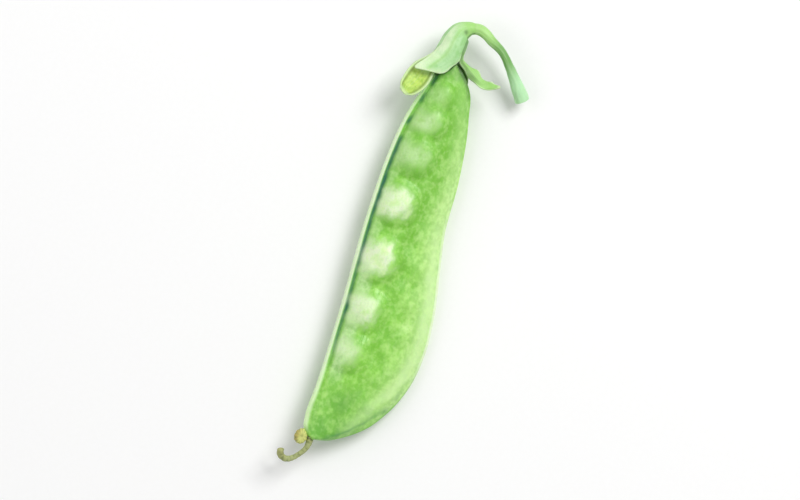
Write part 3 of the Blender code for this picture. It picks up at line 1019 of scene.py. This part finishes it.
BROAD = ((0.0, 1.0), (0.2, 1.13), (0.45, 0.95), (0.68, 0.94), (0.86, 0.94), (0.95, 0.88), (1.0, 0.76))
SPOON = (
    (0.0, 1.0), (0.12, 0.82), (0.28, 0.85), (0.5, 1.3), (0.7, 1.42), (0.84, 1.25), (0.94, 0.95), (1.0, 0.5),
)
RAGGED = (
    (0.0, 1.0), (0.12, 0.86), (0.3, 0.8), (0.42, 0.9), (0.56, 0.72), (0.7, 0.8), (0.84, 0.5), (1.0, 0.22),
)
LANCE = ((0.0, 1.0), (0.12, 0.88), (0.35, 0.8), (0.6, 0.78), (0.85, 0.6), (1.0, 0.25))


@dataclass
class Calyx(Piece):
    """The calyx: a bell round the neck, cut into five lobes, with real thickness and a rounded margin."""

    bell_route: Route = (
        (86.85, -0.35, 1.5, 1.12), (86.6, 0.4, 1.5, 1.35), (86.15, 1.05, 1.5, 1.62),
        (85.3, 1.85, 1.5, 2.1), (83.6, 2.3, 1.5, 2.6), (81.6, 2.45, 1.5, 2.8),
    )
    # Over the top face, two on the dorsal side, under the pod, on the ventral side.
    sepals: tuple[Sepal, ...] = (
        Sepal(
            span=105, length=6.6, spread=6, curl=1, lean=-27.5, twist=0, widths=BROAD, cupping=26,
            columns=44, lean_by=0.5, skew=-0.8,
        ),
        Sepal(
            span=55, length=10.7, spread=66, curl=54, lean=-6, twist=62, widths=RAGGED, cupping=12,
            columns=24, yellow=0.8, waves=0.3, spread_by=0.21, twist_by=0.4,
        ),
        Sepal(
            span=70, length=6.7, spread=46, curl=-4, lean=-26, twist=0, widths=LANCE, cupping=12,
            columns=28, yellow=1.0, spread_by=0.25, lean_by=0.3,
        ),
        Sepal(
            span=55, length=7.4, spread=26, curl=10, lean=-34, twist=0, widths=LANCE, cupping=12,
            columns=24, yellow=0.4,
        ),
        Sepal(
            span=75, length=12.4, spread=6, curl=20, lean=11, twist=98, widths=SPOON, cupping=26,
            columns=36, yellow=0.1, twist_by=0.55,
        ),
    )
    first_start: float = 27.5
    thickness: float = 0.6
    margin_thinning: float = 0.4
    # How far the margin stands out, as a share of the thickness, and how often a lobe's margin waves.
    rim_bulge: float = 0.25
    ruffle_turn: float = 17.0
    cap_steps: int = 5
    bell_steps: int = 30
    lobe_steps: int = 64
    cap_bulge: float = 0.45
    vein_height: float = 0.03

    def ring(self) -> tuple[Array, Array, Array]:
        """The angle, the lobe and the place across it of each column round the bell."""
        angles, lobes, across = [], [], []
        start = self.first_start
        for number, sepal in enumerate(self.sepals):
            share = np.arange(sepal.columns) / sepal.columns
            angles.append(np.radians(start + sepal.span * share))
            lobes.append(np.full(sepal.columns, number))
            across.append(2 * share - 1)
            start += sepal.span
        return np.concatenate(angles), np.concatenate(lobes), np.concatenate(across)

    def bell_frames(self) -> tuple[Array, Array, Array, Array, Array]:
        """Sections of the bell: middles, radii, and each one's axis, side and rise."""
        middles, radii = smooth_route(self.bell_route, self.bell_steps + 1)
        axes = unit(np.gradient(middles, axis=0))
        rises = np.tile((0.0, 0.0, 1.0), (len(middles), 1))
        return middles, radii, axes, np.cross(axes, rises), rises

    def lobe(self, sepal: Sepal, start: float) -> Array:
        """The points of one lobe past the bell's mouth.

        Its middle line is the running sum of a heading that bends away from the bell's axis by spread and
        curl and aside by lean. Each row is an arc of the outline's half width, whose half angle goes from
        the bell's to the cupping, and whose face turns by the twist.

        Args:
            sepal: the lobe.
            start: the angle round the bell at which it begins, in degrees.

        Returns:
            Rows from the mouth (left out) to the end, columns across.
        """
        middles, radii, axes, sides, rises = (values[-1] for values in self.bell_frames())
        across = np.linspace(-1.0, 1.0, sepal.columns + 1)
        half_span = math.radians(sepal.span) / 2
        centre = math.radians(start) + half_span
        share = np.linspace(0.0, 1.0, self.lobe_steps + 1)[1:]
        outward = math.cos(centre) * sides + math.sin(centre) * rises
        tangent = -math.sin(centre) * sides + math.cos(centre) * rises
        bend = sepal.spread * smooth_step(share / sepal.spread_by) + sepal.curl * smooth_step(share * 2 - 1)
        bend, lean = np.radians(bend), np.radians(sepal.lean * smooth_step(share / sepal.lean_by))
        heading = unit(
            (np.cos(bend) * np.cos(lean))[:, None] * axes
            + np.sin(bend)[:, None] * outward
            + (np.cos(bend) * np.sin(lean))[:, None] * tangent
        )
        middle = middles + radii * outward + np.cumsum(heading, axis=0) * sepal.length / self.lobe_steps
        cross = unit(tangent - (heading @ tangent)[:, None] * heading)
        normal = np.cross(heading, cross)
        twist = (np.radians(sepal.twist) * smooth_step(share / sepal.twist_by))[:, None]
        cross, normal = (
            np.cos(twist) * cross + np.sin(twist) * normal,
            np.cos(twist) * normal - np.sin(twist) * cross,
        )
        half_width = smooth_through(sepal.widths, share) * radii * half_span
        half_angle = half_span + (math.radians(sepal.cupping) - half_span) * smooth_step(share)
        arc = (half_width / half_angle)[:, None]
        turn = half_angle[:, None] * across
        ruffle = sepal.waves * np.sin(share * self.ruffle_turn) * smooth_step(share * 3)
        wave = ruffle[:, None] * np.sign(across) * across**2
        ahead = sepal.skew * (half_width * smooth_step(share))[:, None] * across
        return (
            middle[:, None]
            + ahead[..., None] * heading[:, None]
            + (arc * np.sin(turn))[..., None] * cross[:, None]
            + (arc * (np.cos(turn) - 1) + wave)[..., None] * normal[:, None]
        )

    def outer_skin(self) -> tuple[Array, Array, Array, Array, Array, Array]:
        """Lay out the outer skin: a pole where the stalk comes in, the cap, the bell and the lobes.

        Returns:
            Its points, triangles and quads, and at each point the way along (-1 at the cap, 0 at the mouth, 1
            at a lobe's end), the place across its lobe (-1 to 1) and the lobe's number.
        """
        angle, lobe_of, across = self.ring()
        around = len(angle)
        middles, radii, axes, sides, rises = self.bell_frames()
        spokes = np.cos(angle)[None, :, None] * sides[:, None] + np.sin(angle)[None, :, None] * rises[:, None]
        bell = middles[:, None] + radii[:, None, None] * spokes
        turn = np.linspace(0, math.pi / 2, self.cap_steps + 1)[1:-1]
        cap_middles = middles[0] - axes[0] * (self.cap_bulge * np.cos(turn))[:, None]
        cap = cap_middles[:, None] + (radii[0] * np.sin(turn))[:, None, None] * spokes[0][None]
        pole = (middles[0] - axes[0] * self.cap_bulge)[None]
        rings = np.concatenate([cap, bell])
        rows = len(rings)
        ring_along = np.concatenate([np.full(len(cap), -1.0), np.linspace(-1.0, 0.0, len(bell))])

        points, quads = [pole, rings.reshape(-1, 3)], [1 + grid_faces(rows, around, closed=True, flip=True)]
        share = [np.array([-1.0]), np.repeat(ring_along, around)]
        sideways = [np.array([0.0]), np.tile(across, rows)]
        lobe_number = [np.array([0]), np.tile(lobe_of, rows)]
        count, mouth = 1 + rows * around, 1 + (rows - 1) * around
        start, first_column = self.first_start, 0
        for number, sepal in enumerate(self.sepals):
            width = sepal.columns + 1
            size = self.lobe_steps * width
            root = mouth + (first_column + np.arange(width)) % around
            numbers = np.concatenate([root, count + np.arange(size)])
            quads.append(numbers[grid_faces(self.lobe_steps + 1, width, closed=False, flip=True)])
            points.append(self.lobe(sepal, start).reshape(-1, 3))
            share.append(np.repeat(np.linspace(0, 1, self.lobe_steps + 1)[1:], width))
            sideways.append(np.tile(np.linspace(-1, 1, width), self.lobe_steps))
            lobe_number.append(np.full(size, number))
            count += size
            start += sepal.span
            first_column += sepal.columns
        triangles = fan_faces(0, 1, around)
        points, quads = np.concatenate(points), np.concatenate(quads)
        return points, triangles, quads, *(np.concatenate(part) for part in (share, sideways, lobe_number))

    def masks(
        self, share: Array, sideways: Array, lobe_number: Array, vein: Array, rim_points: Array
    ) -> dict[str, Array]:
        """Where the calyx's colours go.

        Args:
            share: the way along, -1 at the cap, 0 at the mouth and 1 at a lobe's end.
            sideways: the place across the lobe, -1 to 1.
            lobe_number: the lobe's.
            vein: how far the veins rise.
            rim_points: the numbers of the points along the margin.

        Returns:
            The masks, 0 to 1, for the outer skin, the inner one and the margin's row.
        """
        yellow = np.array([sepal.yellow for sepal in self.sepals])[lobe_number]
        front = (lobe_number == 0).astype(float)
        # Painted shade: the dorsal sepal's side towards the pod, the third sepal under the pod, and the inner
        # faces near the lobes' roots.
        shaded = (lobe_number == 1) * ramp(sideways, 0.05, -0.4) * ramp(share, 0.75, -0.3)
        shaded = np.maximum(shaded, 0.9 * (lobe_number == 2))
        shaded_root = np.maximum(shaded, ramp(share, 0.05, -0.3))
        edge = ramp(np.abs(sideways), 0.80, 0.2) * smooth_step(share / 0.1)
        # Pale bloom with a painted highlight on the front sepal's left side and end.
        bloom_and_highlight = front * ramp(sideways, 0.1, -0.6) * ramp(share, -0.8, 0.5)
        scar = np.hypot((share + 0.66) / 0.07, (sideways - 0.35) / 0.28)
        alike = {
            "vein": vein,
            "yellow": yellow * ramp(share, -0.3, 0.5),
            "base": ramp(share, -0.35, -0.5),
            "rim": np.maximum(edge, ramp(share, 0.93, 0.07)),
            "olive": 0.8 * bump_at(np.abs(sideways) - 0.80, 0.12) * smooth_step(share * 3),
            "pale_root": (lobe_number == 4) * ramp(share, 0.62, -0.2),
            "bloom_and_highlight": np.maximum(bloom_and_highlight, 0.8 * front * ramp(share, 0.72, 0.25)),
            "stripe": front * bump_at(sideways + 0.1, 0.16) * ramp(share, -0.9, 0.4),
            "scar": 0.7 * bump_at(scar, 1.0) * front,
        }
        masks = {
            name: np.concatenate([values, values, values[rim_points]]) for name, values in alike.items()
        }
        masks["inner"] = np.repeat([0.0, 1.0, 0.5], [len(share), len(share), len(rim_points)])
        masks["deep"] = np.concatenate([shaded, shaded_root, shaded[rim_points]])
        return masks

    def build(self, finish: bpy.types.Material) -> bpy.types.Object:
        """Lay an inner skin under the outer one, and join them round the margins.

        The inner skin is the outer one's points moved inwards along their normals by the thickness, which
        thins towards the margins. A row of points midway between the two, pushed a little outwards, rounds
        the margin.

        Args:
            finish: the sepals' green.

        Returns:
            The calyx.
        """
        outer, triangles, quads, share, sideways, lobe_number = self.outer_skin()
        count = len(outer)
        normals = self.point_normals(outer, triangles, quads)
        vein = self.veins(share, sideways)
        margin = ramp(np.abs(sideways), 0.55, 0.45) * smooth_step(share / 0.12)
        margin = np.maximum(margin, ramp(share, 0.88, 0.12))
        inner = outer - normals * (self.thickness * (1 - self.margin_thinning * margin))[:, None]
        outer = outer + normals * (self.vein_height * (vein - 1) * smooth_step(share + 1))[:, None]
        edges, outwards = self.open_edges(outer, normals, quads)
        rim_points, rim_of = np.unique(edges, return_inverse=True)
        rim = (outer[rim_points] + inner[rim_points]) / 2
        rim = rim + self.rim_bulge * self.thickness * outwards[rim_points]
        a, b = edges.T
        rim_a, rim_b = (rim_of.reshape(edges.shape) + 2 * count).T
        faces = [
            triangles,
            quads,
            triangles[:, ::-1] + count,
            quads[:, ::-1] + count,
            np.stack([b, a, rim_a, rim_b], axis=-1),
            np.stack([rim_b, rim_a, a + count, b + count], axis=-1),
        ]
        masks = self.masks(share, sideways, lobe_number, vein, rim_points)
        return self.place("calyx_bell", np.concatenate([outer, inner, rim]), faces, masks, finish)

    @staticmethod
    def veins(share: Array, sideways: Array) -> Array:
        """Raised veins, five in each lobe, that draw together at its end: a bump about each one's line."""
        lines = np.array([-0.72, -0.38, 0.0, 0.38, 0.72])
        drawn = np.clip(1 - 0.35 * np.clip(share, 0, 1) ** 2, 0.2, 1)
        distance = np.abs(sideways[:, None] / drawn[:, None] - lines)
        heights = np.array([0.6, 0.75, 1.0, 0.75, 0.6])
        return (bump_at(distance, 0.085) * heights).max(axis=1) * ramp(share, -0.95, 0.5)

    @staticmethod
    def point_normals(points: Array, triangles: Array, quads: Array) -> Array:
        """Normals at the points: the sum of those of the faces round each, scaled to length 1."""
        total = np.zeros_like(points)
        for faces in (triangles, quads):
            start = points[faces[:, 0]]
            normal = np.cross(points[faces[:, 1]] - start, points[faces[:, -1]] - start)
            for corner in faces.T:
                np.add.at(total, corner, normal)
        return unit(total)

    @staticmethod
    def open_edges(points: Array, normals: Array, quads: Array) -> tuple[Array, Array]:
        """Find the margin.

        Args:
            points: of the skin.
            normals: at the points.
            quads: its faces.

        Returns:
            The edges that have one face, in its direction, and at each point the way out of the skin.
        """
        directed = np.concatenate([quads[:, [k, (k + 1) % 4]] for k in range(4)])
        key = np.sort(directed, axis=1)
        _, index, times = np.unique(key, axis=0, return_index=True, return_counts=True)
        edges = directed[index[times == 1]]
        run = unit(points[edges[:, 1]] - points[edges[:, 0]])
        out = np.cross(run, normals[edges[:, 0]])
        total = np.zeros_like(points)
        np.add.at(total, edges[:, 0], out)
        np.add.at(total, edges[:, 1], out)
        return edges, unit(total)


def tube_frames(centres: Array) -> tuple[Array, Array, Array]:
    """The way along a line, and at each point the side and the rise that its section stands on."""
    ahead = unit(np.gradient(centres, axis=0))
    side = unit(np.cross(np.broadcast_to((0.0, 0.0, 1.0), ahead.shape), ahead))
    return ahead, side, np.cross(ahead, side)


def tube_points(centres: Array, radii: Array, caps: tuple[Stations, Stations]) -> tuple[Array, Array, Array]:
    """A profile carried along a line, closed at both ends.

    The point at row i and angle a is centre + radius (side cos a + rise sin a). A cap is more rows at the
    end's own frame, each a share of its radius wide and a number of radii further out, to a pole.

    Args:
        centres: of the sections.
        radii: of the sections, a number for each point of the grid.
        caps: for the start and the end, (share, distance) pairs from the rim inwards, the last one the pole.

    Returns:
        The rows' points, the two poles, and the row each point belongs to, as a number from 0 to 1 along.
    """
    columns = radii.shape[1]
    angle = np.linspace(0, 2 * math.pi, columns, endpoint=False)
    ahead, side, rise = tube_frames(centres)
    round_ = np.cos(angle)[None, :, None] * side[:, None] + np.sin(angle)[None, :, None] * rise[:, None]
    body = centres[:, None] + radii[..., None] * round_
    rows, along, poles = [body], [np.linspace(0, 1, len(centres))], []
    for end, (stations, way) in enumerate(zip(caps, (-1, 1))):
        at = 0 if end == 0 else -1
        size = radii[at].mean()
        ring = [
            centres[at] + ahead[at] * way * size * out + (radii[at] * share)[:, None] * round_[at]
            for share, out in stations[:-1]
        ]
        poles.append(centres[at] + ahead[at] * way * size * stations[-1][1])
        ring = np.array(ring)
        rows = [ring[::-1], *rows] if end == 0 else [*rows, ring]
        along = [np.zeros(len(ring)), *along] if end == 0 else [*along, np.ones(len(ring))]
    return np.concatenate(rows), np.array(poles), np.concatenate(along)


ROUND_CAP = ((0.98, 0.12), (0.92, 0.28), (0.8, 0.42), (0.6, 0.55), (0.35, 0.63), (0.0, 0.66))
CUT_CAP = ((0.985, 0.03), (0.95, 0.055), (0.88, 0.05), (0.75, 0.03), (0.55, 0.02), (0.3, 0.035), (0.0, 0.05))


@dataclass
class Stalk(Piece):
    """The pod's stalk: it arches out of the bell and down to the swollen foot where it was picked."""

    route: Route = (
        (86.8, -0.15, 1.5, 1.1), (86.95, -0.65, 1.5, 1.12), (87.05, -1.25, 1.6, 1.13),
        (86.8, -2.5, 1.9, 1.06), (86.05, -4.0, 2.2, 0.98), (84.6, -7.2, 2.2, 0.8),
        (82.9, -9.2, 2.0, 0.86), (80.7, -11.5, 1.6, 1.12), (79.1, -13.1, 1.25, 1.36),
        (77.5, -14.7, 0.9, 1.46),
    )
    rows: int = 240
    columns: int = 64
    ribs: int = 9
    rib_height: float = 0.022

    def build(self, finish: bpy.types.Material) -> bpy.types.Object:
        """Carry a round section with shallow ribs along the route.

        The radius is the route's, times 1 + rib height times the cosine of ribs times the angle, plus a
        small unevenness.

        Args:
            finish: the stalk's green.

        Returns:
            The stalk.
        """
        centres, radii = smooth_route(self.route, self.rows)
        angle = np.linspace(0, 2 * math.pi, self.columns, endpoint=False)
        along = np.linspace(0, 1, self.rows)
        spot = round_place(24 * along, 1.2, angle)
        drift = 0.5 * ripple(np.column_stack([24 * along, np.zeros(self.rows)]), 9.0, 3)
        ribbing = self.rib_height * np.cos(self.ribs * (angle[None] + drift[:, None]))
        radius = radii[:, None] * (1 + ribbing + 0.02 * ripple(spot, 3.0, 8))
        points, poles, share = tube_points(centres, radius, (ROUND_CAP, CUT_CAP))
        rows = len(points)
        cut = np.zeros(rows)
        cut[-len(CUT_CAP) + 2:] = 1.0
        ring = np.zeros(rows)
        ring[-3:-1] = 1.0
        # Painted shade on the stalk's under side, gone at the foot.
        shaded_side = smooth_step((-0.15 - np.sin(angle - 0.5)) / 0.7)
        grid = (rows, self.columns)
        masks = {
            "along": np.broadcast_to(share[:, None], grid),
            "under": shaded_side * (1 - ramp(share, 0.85, 0.15))[:, None],
            "cut": np.broadcast_to(cut[:, None], grid),
            "ring": np.broadcast_to(ring[:, None], grid),
            "stripe": round_place(1.5 * share, 2.4, angle),
        }
        return self.place_tube("pod_stalk", points, poles, masks, finish)


@dataclass
class Style(Piece):
    """The dried style at the tip: a hooked thread and the knob that it grew from."""

    route: Route = (
        (0.7, -1.2, 1.45, 0.68), (-0.3, -1.2, 1.45, 0.68), (-1.1, -1.25, 1.4, 0.64),
        (-2.05, -1.15, 1.25, 0.57), (-3.1, -0.65, 1.0, 0.53), (-3.95, -0.1, 0.85, 0.54),
        (-4.8, 0.65, 0.75, 0.58), (-5.3, 1.5, 0.75, 0.64), (-5.3, 2.4, 0.9, 0.68),
        (-4.9, 3.1, 1.15, 0.72), (-4.2, 3.4, 1.4, 0.74),
    )
    knob_centre: tuple[float, float, float] = (-0.14, 0.74, 1.45)
    knob_radii: tuple[float, float, float] = (1.6, 1.36, 1.0)
    thread_rows: int = 220
    thread_columns: int = 36
    knob_rings: int = 60
    knob_columns: int = 96

    def build_thread(self, finish: bpy.types.Material) -> bpy.types.Object:
        """The thread: a shrivelled tube whose creases run round it and slowly turn along it."""
        centres, radii = smooth_route(self.route, self.thread_rows)
        angle = np.linspace(0, 2 * math.pi, self.thread_columns, endpoint=False)
        length = np.linspace(0, 16, self.thread_rows)
        spot = round_place(1.6 * length, 0.7, angle)
        crease = smooth_step(ripple(spot, 1.5, 21) * 0.6 + 0.25)
        fold = np.cos(3 * angle[None] + 0.45 * length[:, None])
        radius = radii[:, None] * (0.97 - 0.10 * crease + 0.05 * fold)
        points, poles, share = tube_points(centres, radius, (ROUND_CAP, ROUND_CAP))
        before = (len(points) - self.thread_rows) // 2
        crease = np.pad(crease, ((before, len(points) - self.thread_rows - before), (0, 0)), mode="edge")
        along = np.broadcast_to(share[:, None], crease.shape)
        masks = {
            "crease": crease,
            "knob": np.zeros_like(crease),
            "brown": 0.35 * smooth_step(1 - along * 5) + 0.25 * smooth_step((along - 0.7) * 4),
        }
        return self.place_tube("style_thread", points, poles, masks, finish)

    def build_knob(self, finish: bpy.types.Material) -> bpy.types.Object:
        """The knob: a ball with a puckered dimple on top and ribs that fade towards it.

        Its radius is 1 + the ribs' cosine times the sine of the polar angle - a bump at the dimple.

        Args:
            finish: the dried finish.

        Returns:
            The knob.
        """
        polar = np.linspace(0, math.pi, self.knob_rings + 2)[1:-1][:, None]
        angle = np.linspace(0, 2 * math.pi, self.knob_columns, endpoint=False)[None]
        way = np.stack(np.broadcast_arrays(
            np.sin(polar) * np.cos(angle), np.sin(polar) * np.sin(angle), -np.cos(polar)), axis=-1)
        ribs = 0.5 + 0.5 * np.cos(11 * angle + 0.8 * np.sin(2 * angle))
        dimple = bump_at(math.pi - polar, 0.42)
        crease = (1 - ribs) * np.sin(polar) ** 2
        size = 1.0 - 0.05 * crease - 0.26 * dimple + 0.03 * ripple(way, 1.1, 4)
        points = np.array(self.knob_centre) + way * size[..., None] * np.array(self.knob_radii)
        poles = np.array(self.knob_centre) + np.array([[0, 0, -0.98], [0, 0, 0.75]]) * self.knob_radii[2]
        outer_side = smooth_step((np.sin(angle) * np.sin(polar) - 0.1) / 0.7)
        masks = {
            # Painted shade in the rib grooves and the dimple.
            "crease": crease + 0.5 * dimple,
            "knob": np.ones_like(crease),
            "brown": np.maximum(0.95 * outer_side, 0.3 * smooth_step((0.3 + np.cos(polar)) * 2)),
        }
        return self.place_tube("style_knob", points, poles, masks, finish)


@dataclass
class Studio:
    """The pale floor, the soft light and the camera that looks straight down."""

    floor_size: float = 4.0
    # The picture's up and right ways on the surface, in the row frame.
    picture_up: tuple[float, float] = (0.9244, 0.3814)
    picture_right: tuple[float, float] = (0.3814, -0.9244)
    lens: float = 300.0
    sensor: float = 36.0
    frame_width: float = 0.158
    # Name, way to the picture's right and top, height, side and power: a large key and a weaker fill.
    lamps: tuple[tuple[str, float, float, float, float, float], ...] = (
        ("key", 0.5, 0.45, 0.8, 0.5, 7.4), ("fill", -0.7, 0.1, 0.8, 0.9, 2.4),
    )
    sky_strength: float = 0.46

    def floor(self, finish: bpy.types.Material) -> bpy.types.Object:
        """Lay the floor."""
        half = self.floor_size / 2
        mesh = bpy.data.meshes.new("floor")
        points = [(-half, -half, 0), (half, -half, 0), (half, half, 0), (-half, half, 0)]
        mesh.from_pydata(points, [], [(0, 1, 2, 3)])
        mesh.materials.append(finish)
        floor = bpy.data.objects.new("floor", mesh)
        bpy.context.scene.collection.objects.link(floor)
        return floor

    def lamp(self, name: str, right: float, up: float, height: float, size: float, power: float) -> None:
        """Hang a soft square lamp that faces the pod.

        Args:
            name: the lamp's.
            right: how far to the picture's right.
            up: how far to the picture's top.
            height: above the floor.
            size: of its side.
            power: in watts.
        """
        data = bpy.data.lights.new(name, "AREA")
        data.shape = "SQUARE"
        data.size = size
        data.energy = power
        lamp = bpy.data.objects.new(name, data)
        ways = np.array(self.picture_right) * right + np.array(self.picture_up) * up
        lamp.location = (*ways, height)
        lamp.rotation_euler = lamp.location.to_track_quat("Z", "Y").to_euler()
        bpy.context.scene.collection.objects.link(lamp)

    def light(self) -> None:
        """A large key from the upper right, a weaker one from the left, and an even sky."""
        for lamp in self.lamps:
            self.lamp(*lamp)
        world = bpy.data.worlds.new("sky")
        world.use_nodes = True
        sky = world.node_tree.nodes["Background"]
        sky.inputs["Color"].default_value = (1.0, 1.0, 1.0, 1.0)
        sky.inputs["Strength"].default_value = self.sky_strength
        bpy.context.scene.world = world

    def camera(self) -> None:
        """Hang the camera over the pod, turned so that the picture's up is up."""
        data = bpy.data.cameras.new("camera")
        data.lens = self.lens
        data.sensor_width = self.sensor
        camera = bpy.data.objects.new("camera", data)
        distance = self.frame_width * self.lens / self.sensor
        camera.location = (0.0, 0.0, distance)
        camera.rotation_euler = (0.0, 0.0, math.atan2(-self.picture_up[0], self.picture_up[1]))
        bpy.context.scene.collection.objects.link(camera)
        bpy.context.scene.camera = camera

    def build(self) -> None:
        """Set up everything that isn't the pod."""
        self.floor(Paper().make())
        self.light()
        self.camera()
        bpy.context.scene.view_settings.view_transform = "Standard"


def read_lie() -> Lie:
    """Work out from the frame how the pod lies."""
    low, high = (np.array(corner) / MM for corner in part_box(Part.POD.value[0]))
    still = Lie()
    pod = Pod(Part.POD, still)
    stations, places = 600, 90
    x = np.repeat(np.linspace(0, pod.length, stations)[1:-1, None], places, axis=1)
    ventral, dorsal, scale = pod.edges(x)
    y = (ventral + dorsal) / 2 + (ventral - dorsal) / 2 * np.cos(np.linspace(0, math.pi, places))
    height = pod.half_thickness(x, y, ventral, dorsal, scale)
    valves = [np.stack([x, y, side * height + pod.middle_lift(x)], axis=-1) for side in (1, -1)]
    across = still.rolled(np.concatenate(valves))[..., 1]
    shift_y = (low[1] + high[1] - across.min() - across.max()) / 2
    return Lie(shift=(low[0], shift_y))


def corners(box: Any) -> list[list[float]]:
    """A box as plain lists of numbers."""
    return [[float(value) for value in corner] for corner in box]


def main() -> None:
    """Build and dress each piece, and set up the studio."""
    logging.basicConfig(level=logging.INFO, format="%(name)s: %(message)s")
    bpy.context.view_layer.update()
    lie = read_lie()
    roll = math.degrees(lie.roll)
    log.info("the pod lies rolled by %.1f degrees, shifted by %.2f, %.2f mm", roll, *lie.shift)
    Pod(Part.POD, lie).build(PodSkin().make())
    Calyx(Part.CALYX, lie).build(SepalGreen().make())
    Stalk(Part.STALK, lie).build(StalkGreen().make())
    style = Style(Part.STYLE, lie)
    dried = DriedStyle().make()
    style.build_thread(dried)
    style.build_knob(dried)
    Studio().build()


if __name__ == "__main__":
    main()
